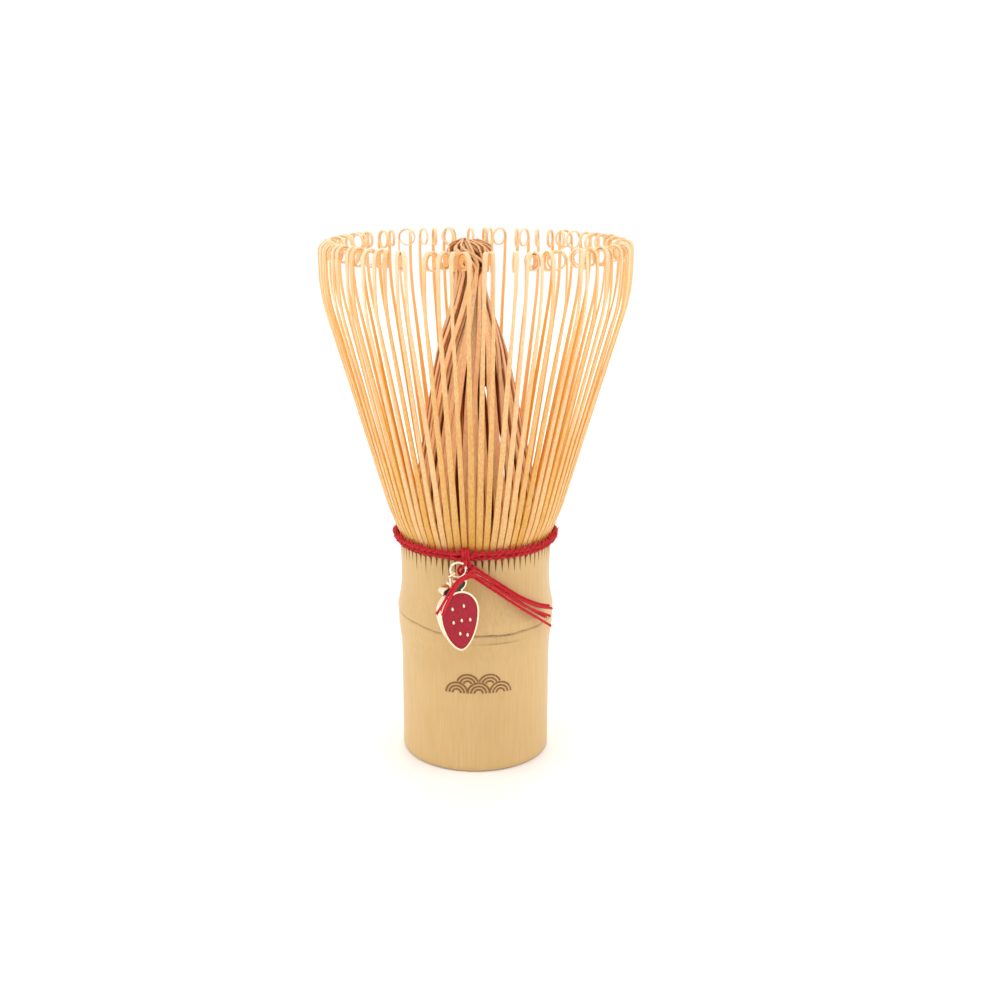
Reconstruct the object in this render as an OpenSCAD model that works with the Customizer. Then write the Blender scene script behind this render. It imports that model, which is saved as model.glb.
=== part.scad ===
// Bamboo tea whisk with a thread binding and a small strawberry charm.
// Millimetres, +Z up, front towards -Y. Origin: centre of the handle's base.

/* [Handle] */
// Outer radius of the handle's straight grip
handle_r = 14.4; // [14.2:0.05:14.5]
// Height of the straight grip, from the base chamfer up
grip_h = 22.5; // [18:0.5:22.5]
// Chamfer at the foot of the handle
foot_chamfer = 0.5; // [0.3:0.1:1]
// Radius of the hollow below the node
bore_r = 10.2; // [8:0.1:11]
// Depth of the hollow below the node
bore_depth = 26; // [20:0.5:26]
// How far the node ring swells beyond the grip
node_swell = 0.73; // [0.3:0.01:0.75]

/* [Outer tines] */
// Number of groups that flex as one
groups = 12; // [12:1:12]
// Tines in each group
tines_per_group = 6; // [4:1:6]
// Width of a tine at its root
tine_root_w = 1; // [0.6:0.05:1]
// Width of a tine at its tip
tine_tip_w = 0.5; // [0.3:0.05:0.6]
// Lean of the straight part of a tine, in degrees from upright
flare = 16; // [14:0.5:16]
// Radius of the curled tip, to the middle of the strip
curl_r = 1.75; // [1:0.05:1.8]
// Height of the whole whisk
total_h = 100; // [99:0.1:100]

/* [Inner tines] */
// Number of groups of inner tines
inner_groups = 6; // [6:1:6]
// Inner tines in each group
inner_per_group = 10; // [8:1:10]
// Radius of the knot of folded tips
inner_knot_r = 4.65; // [4:0.05:5]

/* [Thread] */
// Radius of a row of binding thread
row_r = 0.43; // [0.35:0.01:0.45]
// Diameter of a loose thread end
tie_d = 0.55; // [0.4:0.01:0.56]

/* [Charm] */
// Radius of the jump ring, to the middle of its wire
ring_r = 1.4; // [1.35:0.01:1.45]
// Radius of the jump ring's wire
ring_wire_r = 0.25; // [0.2:0.01:0.25]
// Thickness of the charm plate
plate_t = 1.9; // [1.2:0.1:1.9]
// Half the width of the berry
berry_half_w = 3.95; // [3.6:0.05:4]
// Turn of the charm to its left about the vertical
charm_yaw = 26; // [24:1:28]
// Lean of the berry's tip to the right
charm_lean = 4.5; // [3:0.5:8]

/* [Hidden] */
$fn = 96;

function inner_name(k) = str("inner_tines_", k);
function outer_name(k) = str("outer_tines_", k < 10 ? "0" : "", k);

bamboo = "#dcb67c";
bamboo_pale = "#eec994";
thread_red = "#c4182c";
pale_gold = "#efdcc0";
enamel_red = "#b8283c";
enamel_green = "#1f5a40";

// Culm heights
grip_top = foot_chamfer + grip_h;
septum_t = 3.5;
cup_r = 11.4;
node_z = 29.9;
lower_z = 26;
lower_swell = 0.45;
scar_z = 28.1;
scar_d = 0.22;
node_top = 37;
comb_z = 40.5;
split_z = 41.6;
split_r = [12.8, 13.6];
culm_top = 43;
slot_w = 0.36;
slot_in_r = 13.3;
tines = groups * tines_per_group;
group_turn = 360 / groups;

// Strip of one outer tine
root_gap = 0.3;
root_z = culm_top + root_gap;
rim_r = 28.3;
arc_r = 33;
arc_z = 86;
arc_start_r = rim_r - arc_r * (1 - cos(flare));
tip_t = 0.28;
root_t = 0.5;
curl_z = total_h - curl_r - tip_t / 2;
// Foot of the strip, bent out over the thread, as radius and height
root_bend = [[14.1, root_z], [14.6, 45], [15.3, 46.6], [16.1, 48.6], [17.2, 51.7]];

// Cone of inner tines and the knot of their tips
neck_z = 94;
inner_root_t = 0.6;
inner_tip_t = 0.3;
inner_fill = 0.74;
knot_neck_r = 2.6;
knot_core_r = 1.5;
knot_mid_z = 97.2;
knot_half_h = 2.7;

// Middle of the thread rows: radius and height
row_lower = [15.2, 43.6];
row_upper = [15.55, 44.42];
row_inner = [13.6, 44.3];
inner_row_r = 0.4;

// Front knot, jump ring and the two links on the ring
knot_at = [-1.45, -17.05, 42.7];
knot_r = 1.1;
knot_neck_wire_r = 0.45;
knot_tail_at = [-0.9, -17.1, 41.3];
knot_tail_r = 0.85;
ring_at = [-3.1, -18.5, 42.4];
link_r = 0.7;
link_wire_r = 0.25;
eyelet_r = 0.65;
eyelet_wire_r = 0.22;
// Turns round the ring of the two links
hanger_turn = 45;
eyelet_turn = 215;
hanger_at = ring_at + ring_r * [cos(hanger_turn), 0, sin(hanger_turn)];
eyelet_at = ring_at + ring_r * [cos(eyelet_turn), 0, sin(eyelet_turn)];

// Charm, measured down from the middle of its eyelet
berry_x = 0.5;
berry_wide_z = -7.6;
berry_top_h = 4.4;
berry_tip_h = 7.3;
rim_w = 0.35;
pocket_d = 0.35;
enamel_t = 0.25;
hanger_stem = [-0.35, 0, -2.2];
hanger_stem_h = 1.6;
hanger_stem_r = 0.3;
crown_at = [0.3, -3.1];
crown_core_r = 1.15;
// Leaves of the crown: direction from upright, length, width
leaves = [[50, 2.7, 1.5], [17, 2.1, 1.2], [-32, 1.9, 1.3], [-86, 3, 2.1]];
// Places of the seeds
seeds_at = [[-0.9, -6.35], [1.4, -6.25], [-0.9, -9], [0.75, -8.95], [2.45, -9.2], [0.25, -11.45], [1.7, -12.05]];
seed_r = 0.26;

// Routes of the tie threads, from the right end through the knot to the left end
right_low = [[14.4, -8.7, 27.9], [12.2, -11.1, 30.1], [10.2, -12.8, 31.9], [8.2, -14.1, 33.6], [6.2, -15.1, 35.3],
             [4.2, -15.9, 37], [2.4, -16.5, 38.4], [0.8, -17, 39.7], [-0.2, -17.4, 40.5]];
right_middle = [[14.2, -9.2, 30.1], [12.2, -11.4, 31.6], [10.2, -13.1, 33], [8.2, -14.4, 34.5], [6.2, -15.5, 36.2],
                [4.2, -16.3, 37.8], [2.4, -16.9, 39.2], [0.8, -17.4, 40.4], [-0.2, -17.8, 41.2]];
right_upper = [[14.6, -8.5, 31.4], [12.2, -11.1, 32.6], [10.2, -12.8, 33.9], [8.2, -14.1, 35.3], [6.2, -15.1, 36.9],
               [4.2, -15.9, 38.5], [2.4, -16.5, 40], [0.8, -17, 41.1], [-0.2, -17.4, 41.9]];
bight = [[14, -8.4, 31.9], [12.2, -10.4, 32.9], [10.2, -12.1, 34.2], [8.2, -13.4, 35.6], [6.2, -14.4, 37.2],
         [4.2, -15.2, 38.8], [2.4, -15.8, 40.2], [0.8, -16.2, 41.5], [-0.6, -16.5, 42.5], [-1.8, -16.7, 42.9],
         [-2.8, -16.7, 42.5], [-3.2, -16.7, 41.7], [-2.8, -16.7, 40.9], [-1.8, -16.6, 40.4], [-0.6, -16.4, 40.3],
         [0.8, -16.1, 40.1], [2.4, -15.7, 39], [4.2, -15.1, 37.7], [6.2, -14.3, 36], [8.2, -13.4, 34.4],
         [10.2, -12.1, 32.7], [12.2, -10.4, 30.9], [13.4, -9.2, 29.8]];
left_1 = [[-1.4, -19.3, 41.8], [-2.4, -19.5, 41.3], [-3.4, -19.9, 40.6], [-4.2, -20.3, 39.6], [-4.9, -20.6, 38.5],
          [-5.6, -21, 37.3], [-6.3, -21.3, 36.1], [-7.1, -21.7, 35]];
left_2 = [[-1.3, -19.3, 41.2], [-2.3, -19.5, 40.7], [-3.1, -19.8, 39.9], [-3.8, -20.1, 39], [-4.4, -20.4, 38],
          [-5, -20.7, 36.9], [-5.5, -21, 35.8], [-6, -21.2, 34.6]];
left_3 = [[-1.5, -19.9, 41.8], [-2.4, -20.1, 41.1], [-3.3, -20.5, 40.2], [-4, -20.8, 39.2], [-4.6, -21.1, 38.2],
          [-5.1, -21.4, 37.1], [-5.5, -21.6, 36.1], [-5.8, -21.8, 35]];
tie_sides = 8;

// ---- functions ----

// Point at share t of a cubic curve with four control points
function bezier(a, b, c, d, t) =
  pow(1 - t, 3) * a + 3 * t * pow(1 - t, 2) * b + 3 * t * t * (1 - t) * c + pow(t, 3) * d;

function unit(v) = v / norm(v);

// Direction of a run of points at point i
function heading(pts, i) = unit(pts[min(i + 1, len(pts) - 1)] - pts[max(i - 1, 0)]);

// Outline of a strip along a flat run of points, whose thickness goes from t0 to t1
function strip(pts, t0, t1) =
  let (n = len(pts) - 1,
       side = [for (i = [0:n]) let (h = heading(pts, i)) [-h[1], h[0]] * (t0 + (t1 - t0) * i / n) / 2])
  concat([for (i = [0:n]) pts[i] + side[i]], [for (i = [n:-1:0]) pts[i] - side[i]]);

// Middle of an outer tine, as radius and height
function tine_spine() = concat(
  root_bend,
  [for (a = [flare:-flare / 5:0]) [arc_start_r + arc_r * (cos(a) - cos(flare)), arc_z + arc_r * (sin(flare) - sin(a))]],
  [for (a = [0:24:288]) [rim_r - curl_r + curl_r * cos(a), curl_z + curl_r * sin(a)]]);

// Middle of an inner tine, as radius and height
function inner_spine() = [for (t = [0:1 / 12:1.001]) bezier([12, culm_top], [11.3, 62], [6.5, 78], [2.4, neck_z], t)];

// Radius of the culm's skin: the ridge at the node, the lower ridge below it and the sheath scar between them
function skin(z) = handle_r + node_swell * exp(-pow((z - node_z) / 3, 2))
  + lower_swell * exp(-pow((z - lower_z) / 1.7, 2)) - scar_d * exp(-pow((z - scar_z) / 0.5, 2));

// Right and left edges of the berry, pulled in by inset
function berry_outline(inset) =
  let (w = berry_half_w - inset,
       right = [for (s = [90:-10:10]) let (u = sin(s)) [berry_x + w * pow(1 - pow(u, 1.7), 0.6), berry_wide_z - (berry_tip_h - inset) * u]],
       top = [for (a = [0:10:180]) [berry_x + w * cos(a), berry_wide_z + (berry_top_h - inset) * sin(a)]],
       left = [for (s = [10:10:80]) let (u = sin(s)) [berry_x - w * pow(1 - pow(u, 1.7), 0.6), berry_wide_z - (berry_tip_h - inset) * u]])
  concat(right, top, left);

// Point at share t between p1 and p2 of a smooth run through p0, p1, p2 and p3
function between(p0, p1, p2, p3, t) =
  0.5 * (2 * p1 + (p2 - p0) * t + (2 * p0 - 5 * p1 + 4 * p2 - p3) * t * t + (3 * p1 - p0 - 3 * p2 + p3) * pow(t, 3));

// n + 1 points spread along the smooth run through pts
function along(pts, n) =
  let (last = len(pts) - 1)
  [for (k = [0:n]) let (s = k * last / n, i = min(floor(s), last - 1))
    between(pts[max(i - 1, 0)], pts[i], pts[i + 1], pts[min(i + 2, last)], s - i)];

// ---- helpers ----

// Round thread of diameter d swept along pts, with flat ends
module thread_tube(pts, d) {
  n = len(pts) - 1;
  rings = [for (i = [0:n])
    let (h = heading(pts, i), u = unit(cross(h, [0.2, 0.9, 0.4])), v = cross(h, u))
    for (k = [0:tie_sides - 1]) pts[i] + d / 2 * (cos(360 * k / tie_sides) * u + sin(360 * k / tie_sides) * v)];
  walls = [for (i = [0:n - 1]) for (k = [0:tie_sides - 1])
    let (a = i * tie_sides + k, b = i * tie_sides + (k + 1) % tie_sides)
    for (half = [[a, b, b + tie_sides], [a, b + tie_sides, a + tie_sides]]) half];
  foot = [[for (k = [tie_sides - 1:-1:0]) k]];
  head = [[for (k = [0:tie_sides - 1]) n * tie_sides + k]];
  polyhedron(rings, concat(foot, walls, head));
}

// Torus about Z
module hoop(r, wire_r, fn = 64) {
  rotate_extrude($fn = fn) translate([r, 0]) circle(wire_r, $fn = 24);
}

// A link around the ring's wire, whose hole follows the wire at that turn round the ring
module link(at, turn, r, wire_r) {
  translate(at) rotate([0, -turn, 0]) hoop(r, wire_r, 48);
}

// One leaf with two curved sides, from the origin up
module leaf(length, width) {
  r = (length * length + width * width) / (4 * width);
  intersection() {
    translate([r - width / 2, length / 2]) circle(r);
    translate([width / 2 - r, length / 2]) circle(r);
  }
}

// The crown's outline, pulled in by inset
module crown(inset) {
  translate(crown_at) {
    circle(crown_core_r - inset);
    for (l = leaves) rotate(-l[0]) translate([0, inset]) leaf(l[1] - 2 * inset, l[2] - 1.5 * inset);
  }
}

// Puts a flat outline, drawn in x and height, into the charm's plane, with its front face at front
module in_charm_plane(front, thickness) {
  translate(eyelet_at) rotate([0, 0, charm_yaw]) rotate([0, -charm_lean, 0])
    rotate([90, 0, 0]) translate([0, 0, front - thickness]) linear_extrude(thickness) children();
}

module seeds() {
  for (at = seeds_at) translate(at) circle(seed_r, $fn = 24);
}

// ---- sub-parts ----

// The culm: grip, node ring, hollow below the septum, cup above it and the comb that the tines are split from
module handle_culm() {
  swell_z = [for (z = [grip_top + 0.5:0.5:node_top - 1]) z];
  color(bamboo) difference() {
    union() {
      cylinder(h = foot_chamfer, r1 = handle_r - foot_chamfer, r2 = handle_r);
      translate([0, 0, foot_chamfer]) cylinder(h = grip_h, r = handle_r);
      rotate_extrude() polygon(concat([[0, grip_top], [handle_r, grip_top]], [for (z = swell_z) [skin(z), z]],
        [[handle_r, node_top], [handle_r, culm_top], [0, culm_top]]));
    }
    translate([0, 0, -1]) cylinder(h = bore_depth + 1, r = bore_r);
    translate([0, 0, bore_depth + septum_t]) cylinder(h = culm_top, r = cup_r);
    translate([0, 0, split_z]) difference() {
      cylinder(h = culm_top, r = split_r[1]);
      translate([0, 0, -1]) cylinder(h = culm_top, r = split_r[0]);
    }
    for (i = [0:tines - 1])
      rotate([0, 0, i * 360 / tines]) translate([slot_in_r, -slot_w / 2, comb_z]) cube([2, slot_w, 3]);
  }
}

// One outer tine: a flat strip, wide at the root and narrow at the tip, that curls inward at the rim
module outer_tine() {
  intersection() {
    rotate([90, 0, 0]) linear_extrude(tine_root_w + 0.4, center = true) polygon(strip(tine_spine(), root_t, tip_t));
    rotate([90, 0, 90]) linear_extrude(rim_r + 5)
      polygon([[-tine_root_w / 2, culm_top], [tine_root_w / 2, culm_top], [tine_tip_w / 2, total_h + 1], [-tine_tip_w / 2, total_h + 1]]);
  }
}

// Group k of the outer tines
module outer_tines(k) {
  color(bamboo_pale)
    for (i = [0:tines_per_group - 1])
      rotate([0, 0, (k - 1) * group_turn - 90 + (i - (tines_per_group - 1) / 2) * 360 / tines]) outer_tine();
}

// Group k of the inner tines, which lean in to a cone
module inner_tines(k) {
  pitch = 360 / (inner_groups * inner_per_group);
  color(bamboo)
    for (i = [0:inner_per_group - 1])
      rotate([0, 0, (k - 1) * 360 / inner_groups + i * pitch])
        rotate_extrude(angle = pitch * inner_fill) polygon(strip(inner_spine(), inner_root_t, inner_tip_t));
}

// The folded tips of the inner tines
module inner_knot() {
  color(bamboo_pale) rotate_extrude() polygon(concat(
    [[0, neck_z], [knot_neck_r, neck_z]],
    [for (a = [-60:15:75]) [knot_core_r + (inner_knot_r - knot_core_r) * cos(a), knot_mid_z + knot_half_h * sin(a)]],
    [[0, knot_mid_z + knot_half_h]]));
}

module thread_row_lower() {
  color(thread_red) translate([0, 0, row_lower[1]]) hoop(row_lower[0], row_r, 96);
}

module thread_row_upper() {
  color(thread_red) translate([0, 0, row_upper[1]]) hoop(row_upper[0], row_r, 96);
}

module thread_row_inner() {
  color(thread_red) translate([0, 0, row_inner[1]]) hoop(row_inner[0], inner_row_r, 96);
}

// The front knot: two lumps of thread and the neck that ties them to the lower row
module thread_knot() {
  reach = norm([knot_at[0], knot_at[1]]) - row_lower[0];
  rise = row_lower[1] - knot_at[2];
  color(thread_red) {
    translate(knot_at) sphere(knot_r);
    translate(knot_tail_at) sphere(knot_tail_r);
    translate(knot_at) rotate([0, atan2(reach, rise), atan2(-knot_at[1], -knot_at[0])])
      cylinder(h = norm([reach, rise]), r = knot_neck_wire_r);
  }
}

module hanger_loop() {
  color(thread_red) link(hanger_at, hanger_turn, link_r, link_wire_r);
}

module tie_tail_low() {
  color(thread_red) thread_tube(along(right_low, 11), tie_d);
}

module tie_tail_middle() {
  color(thread_red) thread_tube(along(right_middle, 11), tie_d);
}

module tie_tail_upper() {
  color(thread_red) thread_tube(along(right_upper, 11), tie_d);
}

module tie_bight() {
  color(thread_red) thread_tube(along(bight, 25), tie_d);
}

module tie_end_1() {
  color(thread_red) thread_tube(along(left_1, 5), tie_d);
}

module tie_end_2() {
  color(thread_red) thread_tube(along(left_2, 5), tie_d);
}

module tie_end_3() {
  color(thread_red) thread_tube(along(left_3, 5), tie_d);
}

module jump_ring() {
  color(pale_gold) translate(ring_at) rotate([90, 0, 0]) hoop(ring_r, ring_wire_r);
}

// The charm's metal: plate with walled pockets for the enamel, seed posts and the eyelet on its neck
module charm_plate() {
  color(pale_gold) {
    difference() {
      in_charm_plane(plate_t / 2, plate_t) union() {
        polygon(berry_outline(0));
        crown(0);
      }
      in_charm_plane(plate_t / 2 + 1, pocket_d + 1) difference() {
        polygon(berry_outline(rim_w));
        seeds();
      }
      in_charm_plane(plate_t / 2 + 1, pocket_d + 1) leaf_pocket();
    }
    link(eyelet_at, eyelet_turn, eyelet_r, eyelet_wire_r);
    translate(eyelet_at) rotate([0, 0, charm_yaw]) rotate([0, -charm_lean, 0])
      translate(hanger_stem) cylinder(h = hanger_stem_h, r = hanger_stem_r);
  }
}

// The hollow of the crown, kept a rim away from the berry
module leaf_pocket() {
  difference() {
    crown(rim_w);
    polygon(berry_outline(0));
  }
}

module berry_enamel() {
  color(enamel_red) in_charm_plane(plate_t / 2 - pocket_d + enamel_t, enamel_t) difference() {
    polygon(berry_outline(rim_w));
    seeds();
  }
}

module leaf_enamel() {
  color(enamel_green) in_charm_plane(plate_t / 2 - pocket_d + enamel_t, enamel_t) leaf_pocket();
}

handle_culm();
for (k = [1:inner_groups]) inner_tines(k);
inner_knot();
for (k = [1:groups]) outer_tines(k);
thread_row_lower();
thread_row_upper();
thread_row_inner();
thread_knot();
hanger_loop();
tie_tail_low();
tie_tail_middle();
tie_tail_upper();
tie_bight();
tie_end_1();
tie_end_2();
tie_end_3();
jump_ring();
charm_plate();
berry_enamel();
leaf_enamel();
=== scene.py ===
"""Looks of a bamboo tea whisk with a red thread binding and a small strawberry charm.

Everything is in metres in the CAD frame: +Z runs up the culm from its foot, and the front, with the charm,
faces -Y. Sizes written in millimetres are turned to metres where a mesh is made.
"""

import logging
import math
import random
from collections.abc import Iterable, Sequence
from dataclasses import dataclass, field
from enum import Enum

import bmesh
import bpy
import numpy as np
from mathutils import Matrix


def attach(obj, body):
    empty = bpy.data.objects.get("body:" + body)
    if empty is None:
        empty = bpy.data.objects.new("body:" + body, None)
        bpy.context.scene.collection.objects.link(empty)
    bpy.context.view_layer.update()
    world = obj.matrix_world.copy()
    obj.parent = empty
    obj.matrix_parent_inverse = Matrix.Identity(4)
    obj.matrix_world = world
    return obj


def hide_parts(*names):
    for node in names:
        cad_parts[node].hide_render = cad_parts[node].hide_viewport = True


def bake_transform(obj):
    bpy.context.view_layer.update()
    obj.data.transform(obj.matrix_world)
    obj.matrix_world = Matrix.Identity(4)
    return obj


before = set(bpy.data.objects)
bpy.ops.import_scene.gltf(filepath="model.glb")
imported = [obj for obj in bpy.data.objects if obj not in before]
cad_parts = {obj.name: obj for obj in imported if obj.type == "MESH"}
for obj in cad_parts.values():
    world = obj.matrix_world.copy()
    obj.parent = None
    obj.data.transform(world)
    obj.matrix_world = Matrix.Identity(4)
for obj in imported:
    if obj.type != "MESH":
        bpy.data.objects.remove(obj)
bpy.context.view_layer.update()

MM = 0.001
FRONT_DEG = -90.0
log = logging.getLogger("tea_whisk")


class Body(Enum):
    """The CAD bodies that pieces ride on, besides the groups of outer tines."""

    WHISK = "whisk"
    RING = "ring"
    CHARM = "charm"


class Slot(Enum):
    """The record's material slots."""

    BAMBOO_SKIN = "bamboo_skin"
    BAMBOO_TINE = "bamboo_tine"
    BAMBOO_INNER = "bamboo_inner"
    RED_THREAD = "red_thread"
    PALE_GOLD = "pale_gold"
    RED_ENAMEL = "red_enamel"
    GREEN_ENAMEL = "green_enamel"


# ---- colours and nodes ----


def linear(colour: str) -> tuple[float, float, float, float]:
    """Turns a colour on screen to the linear colour that a shader takes.

    Args:
        colour: An sRGB hex value, such as "#dcb67c".

    Returns:
        Linear red, green and blue, and an alpha of 1.
    """
    channels = [int(colour[at : at + 2], 16) / 255 for at in (1, 3, 5)]
    red, green, blue = (c / 12.92 if c <= 0.04045 else ((c + 0.055) / 1.055) ** 2.4 for c in channels)
    return red, green, blue, 1.0


def add(
    tree: bpy.types.NodeTree,
    kind: str,
    inputs: dict[str | int, object] | None = None,
    stops: Sequence[tuple[float, str]] = (),
    **fields: object,
) -> bpy.types.Node:
    """Adds one node with its settings and links.

    Args:
        tree: The material's or world's node tree.
        kind: The node's type.
        inputs: Value or linked socket for each input, by name or place.
        stops: A colour ramp's places and hex colours, from low to high.
        **fields: The node's own settings.

    Returns:
        The new node.
    """
    node = tree.nodes.new(kind)
    for name, value in fields.items():
        setattr(node, name, value)
    for name, value in (inputs or {}).items():
        if isinstance(value, bpy.types.NodeSocket):
            tree.links.new(value, node.inputs[name])
        else:
            node.inputs[name].default_value = value
    if stops:
        elements = node.color_ramp.elements
        for element, (place, colour) in zip((elements[0], elements[1]), (stops[0], stops[-1])):
            element.position = place
            element.color = linear(colour)
        for place, colour in stops[1:-1]:
            elements.new(place).color = linear(colour)
    return node


def new_material(name: str) -> tuple[bpy.types.Material, bpy.types.NodeTree, bpy.types.Node]:
    """Starts a material.

    Args:
        name: The finish's name.

    Returns:
        The material, its node tree and its Principled shader.
    """
    material = bpy.data.materials.new(name)
    material.use_nodes = True
    return material, material.node_tree, material.node_tree.nodes["Principled BSDF"]


# ---- finishes ----


@dataclass(frozen=True)
class Bamboo:
    """Cured bamboo: long fibres show as fine streaks along it, under a thin natural wax.

    The skin side is pale and smooth. The split side is warmer, and thin strips let light through.
    """

    name: str
    dark: str
    tan: str
    pale: str
    flesh: str
    fibre_mm: float
    fibre_run_mm: float
    roughness: float
    wax: float
    glow: float
    cloudy: float = 0.35
    fading: float = 0.0
    # colour of the node's scar, also used for the painted shade on the culm
    scar: str = "#5a3826"

    def make(self) -> bpy.types.Material:
        """Builds the material. The mesh has the attributes face, tone and scar; on the culm the last also
        carries painted shade.
        """
        material, tree, shader = new_material(self.name)
        place = add(tree, "ShaderNodeTexCoord").outputs["Object"]
        across, along = 1 / (self.fibre_mm * MM), 1 / (self.fibre_run_mm * MM)
        streaks = add(tree, "ShaderNodeMapping", {"Vector": place, "Scale": (across, across, along)})
        fibres = add(
            tree, "ShaderNodeTexNoise",
            {"Vector": streaks.outputs["Vector"], "Scale": 1.0, "Detail": 3.0, "Roughness": 0.6},
        ).outputs["Fac"]
        grain = add(
            tree, "ShaderNodeValToRGB", {"Fac": fibres},
            stops=((0.25, self.dark), (0.5, self.tan), (0.78, self.pale)),
        ).outputs["Color"]
        # broad clouds of sun-cured colour, about 12 mm across
        clouds = add(
            tree, "ShaderNodeTexNoise", {"Vector": place, "Scale": 85.0, "Detail": 2.0}
        ).outputs["Fac"]
        cloud_share = add(
            tree, "ShaderNodeMapRange",
            {"Value": clouds, "From Min": 0.45, "From Max": 0.75, "To Min": 0.0, "To Max": self.cloudy},
        ).outputs["Result"]
        clouded = add(
            tree, "ShaderNodeMix", {0: cloud_share, 6: grain, 7: linear(self.dark)}, data_type="RGBA"
        ).outputs[2]
        face = add(tree, "ShaderNodeAttribute", attribute_name="face").outputs["Fac"]
        sided = add(
            tree, "ShaderNodeMix", {0: face, 6: linear(self.flesh), 7: clouded}, data_type="RGBA"
        ).outputs[2]
        tone = add(tree, "ShaderNodeAttribute", attribute_name="tone").outputs["Fac"]
        value = add(
            tree, "ShaderNodeMapRange", {"Value": tone, "To Min": 0.84, "To Max": 1.14}
        ).outputs["Result"]
        strength = add(
            tree, "ShaderNodeMapRange",
            {"Value": tone, "To Min": 1.0 + self.fading, "To Max": 1.0 - self.fading},
        ).outputs["Result"]
        toned = add(
            tree, "ShaderNodeHueSaturation", {"Color": sided, "Value": value, "Saturation": strength}
        ).outputs["Color"]
        # mixes towards the scar colour where the culm has its real scar lines, and where painted shade lies
        # below the node and at the foot
        scar = add(tree, "ShaderNodeAttribute", attribute_name="scar").outputs["Fac"]
        colour = add(
            tree, "ShaderNodeMix", {0: scar, 6: toned, 7: linear(self.scar)}, data_type="RGBA"
        ).outputs[2]
        tree.links.new(colour, shader.inputs["Base Color"])
        rough = add(
            tree, "ShaderNodeMapRange",
            {"Value": fibres, "To Min": self.roughness - 0.06, "To Max": self.roughness + 0.08},
        ).outputs["Result"]
        tree.links.new(rough, shader.inputs["Roughness"])
        bump = add(
            tree, "ShaderNodeBump", {"Height": fibres, "Strength": 0.35, "Distance": 0.04 * MM}
        ).outputs["Normal"]
        tree.links.new(bump, shader.inputs["Normal"])
        shader.inputs["IOR"].default_value = 1.5
        shader.inputs["Coat Weight"].default_value = self.wax
        shader.inputs["Coat Roughness"].default_value = 0.35
        shader.inputs["Subsurface Weight"].default_value = self.glow
        shader.inputs["Subsurface Radius"].default_value = (1.0, 0.5, 0.18)
        shader.inputs["Subsurface Scale"].default_value = 0.9 * MM
        return material


@dataclass(frozen=True)
class CottonThread:
    """Dyed cotton sewing thread: matte, with a soft nap that lights up at its edges."""

    name: str = "dyed_cotton_thread"
    deep: str = "#8c0716"
    main: str = "#cc1024"
    light: str = "#ee2c36"
    fibre_mm: float = 0.14

    def make(self) -> bpy.types.Material:
        """Builds the material. Its fibres are drawn 5 times as coarse as cotton's, so that they show."""
        material, tree, shader = new_material(self.name)
        place = add(tree, "ShaderNodeTexCoord").outputs["Object"]
        scaled = 1 / (self.fibre_mm * MM)
        spots = add(tree, "ShaderNodeMapping", {"Vector": place, "Scale": (scaled, scaled, scaled)})
        fibres = add(
            tree, "ShaderNodeTexNoise",
            {"Vector": spots.outputs["Vector"], "Scale": 1.0, "Detail": 3.0, "Roughness": 0.65,
             "Distortion": 0.6},
        ).outputs["Fac"]
        dye = add(
            tree, "ShaderNodeValToRGB", {"Fac": fibres},
            stops=((0.3, self.deep), (0.5, self.main), (0.74, self.light)),
        ).outputs["Color"]
        tree.links.new(dye, shader.inputs["Base Color"])
        bump = add(
            tree, "ShaderNodeBump", {"Height": fibres, "Strength": 0.6, "Distance": 0.05 * MM}
        ).outputs["Normal"]
        tree.links.new(bump, shader.inputs["Normal"])
        shader.inputs["Roughness"].default_value = 0.82
        shader.inputs["Sheen Weight"].default_value = 0.12
        shader.inputs["Sheen Roughness"].default_value = 0.45
        shader.inputs["Sheen Tint"].default_value = linear("#ff8a8a")
        return material


@dataclass(frozen=True)
class GoldPlate:
    """Pale gold flash over cast zinc alloy: bright, slightly uneven from casting and tumbling."""

    name: str
    colour: str
    roughness: float

    def make(self) -> bpy.types.Material:
        """Builds the material: tumbling leaves faint waves about 0.8 mm across."""
        material, tree, shader = new_material(self.name)
        place = add(tree, "ShaderNodeTexCoord").outputs["Object"]
        waves = add(
            tree, "ShaderNodeTexNoise", {"Vector": place, "Scale": 1250.0, "Detail": 2.0}
        ).outputs["Fac"]
        rough = add(
            tree, "ShaderNodeMapRange",
            {"Value": waves, "To Min": self.roughness - 0.06, "To Max": self.roughness + 0.1},
        ).outputs["Result"]
        tree.links.new(rough, shader.inputs["Roughness"])
        bump = add(
            tree, "ShaderNodeBump", {"Height": waves, "Strength": 0.25, "Distance": 0.03 * MM}
        ).outputs["Normal"]
        tree.links.new(bump, shader.inputs["Normal"])
        shader.inputs["Base Color"].default_value = linear(self.colour)
        shader.inputs["Metallic"].default_value = 1.0
        return material


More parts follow.
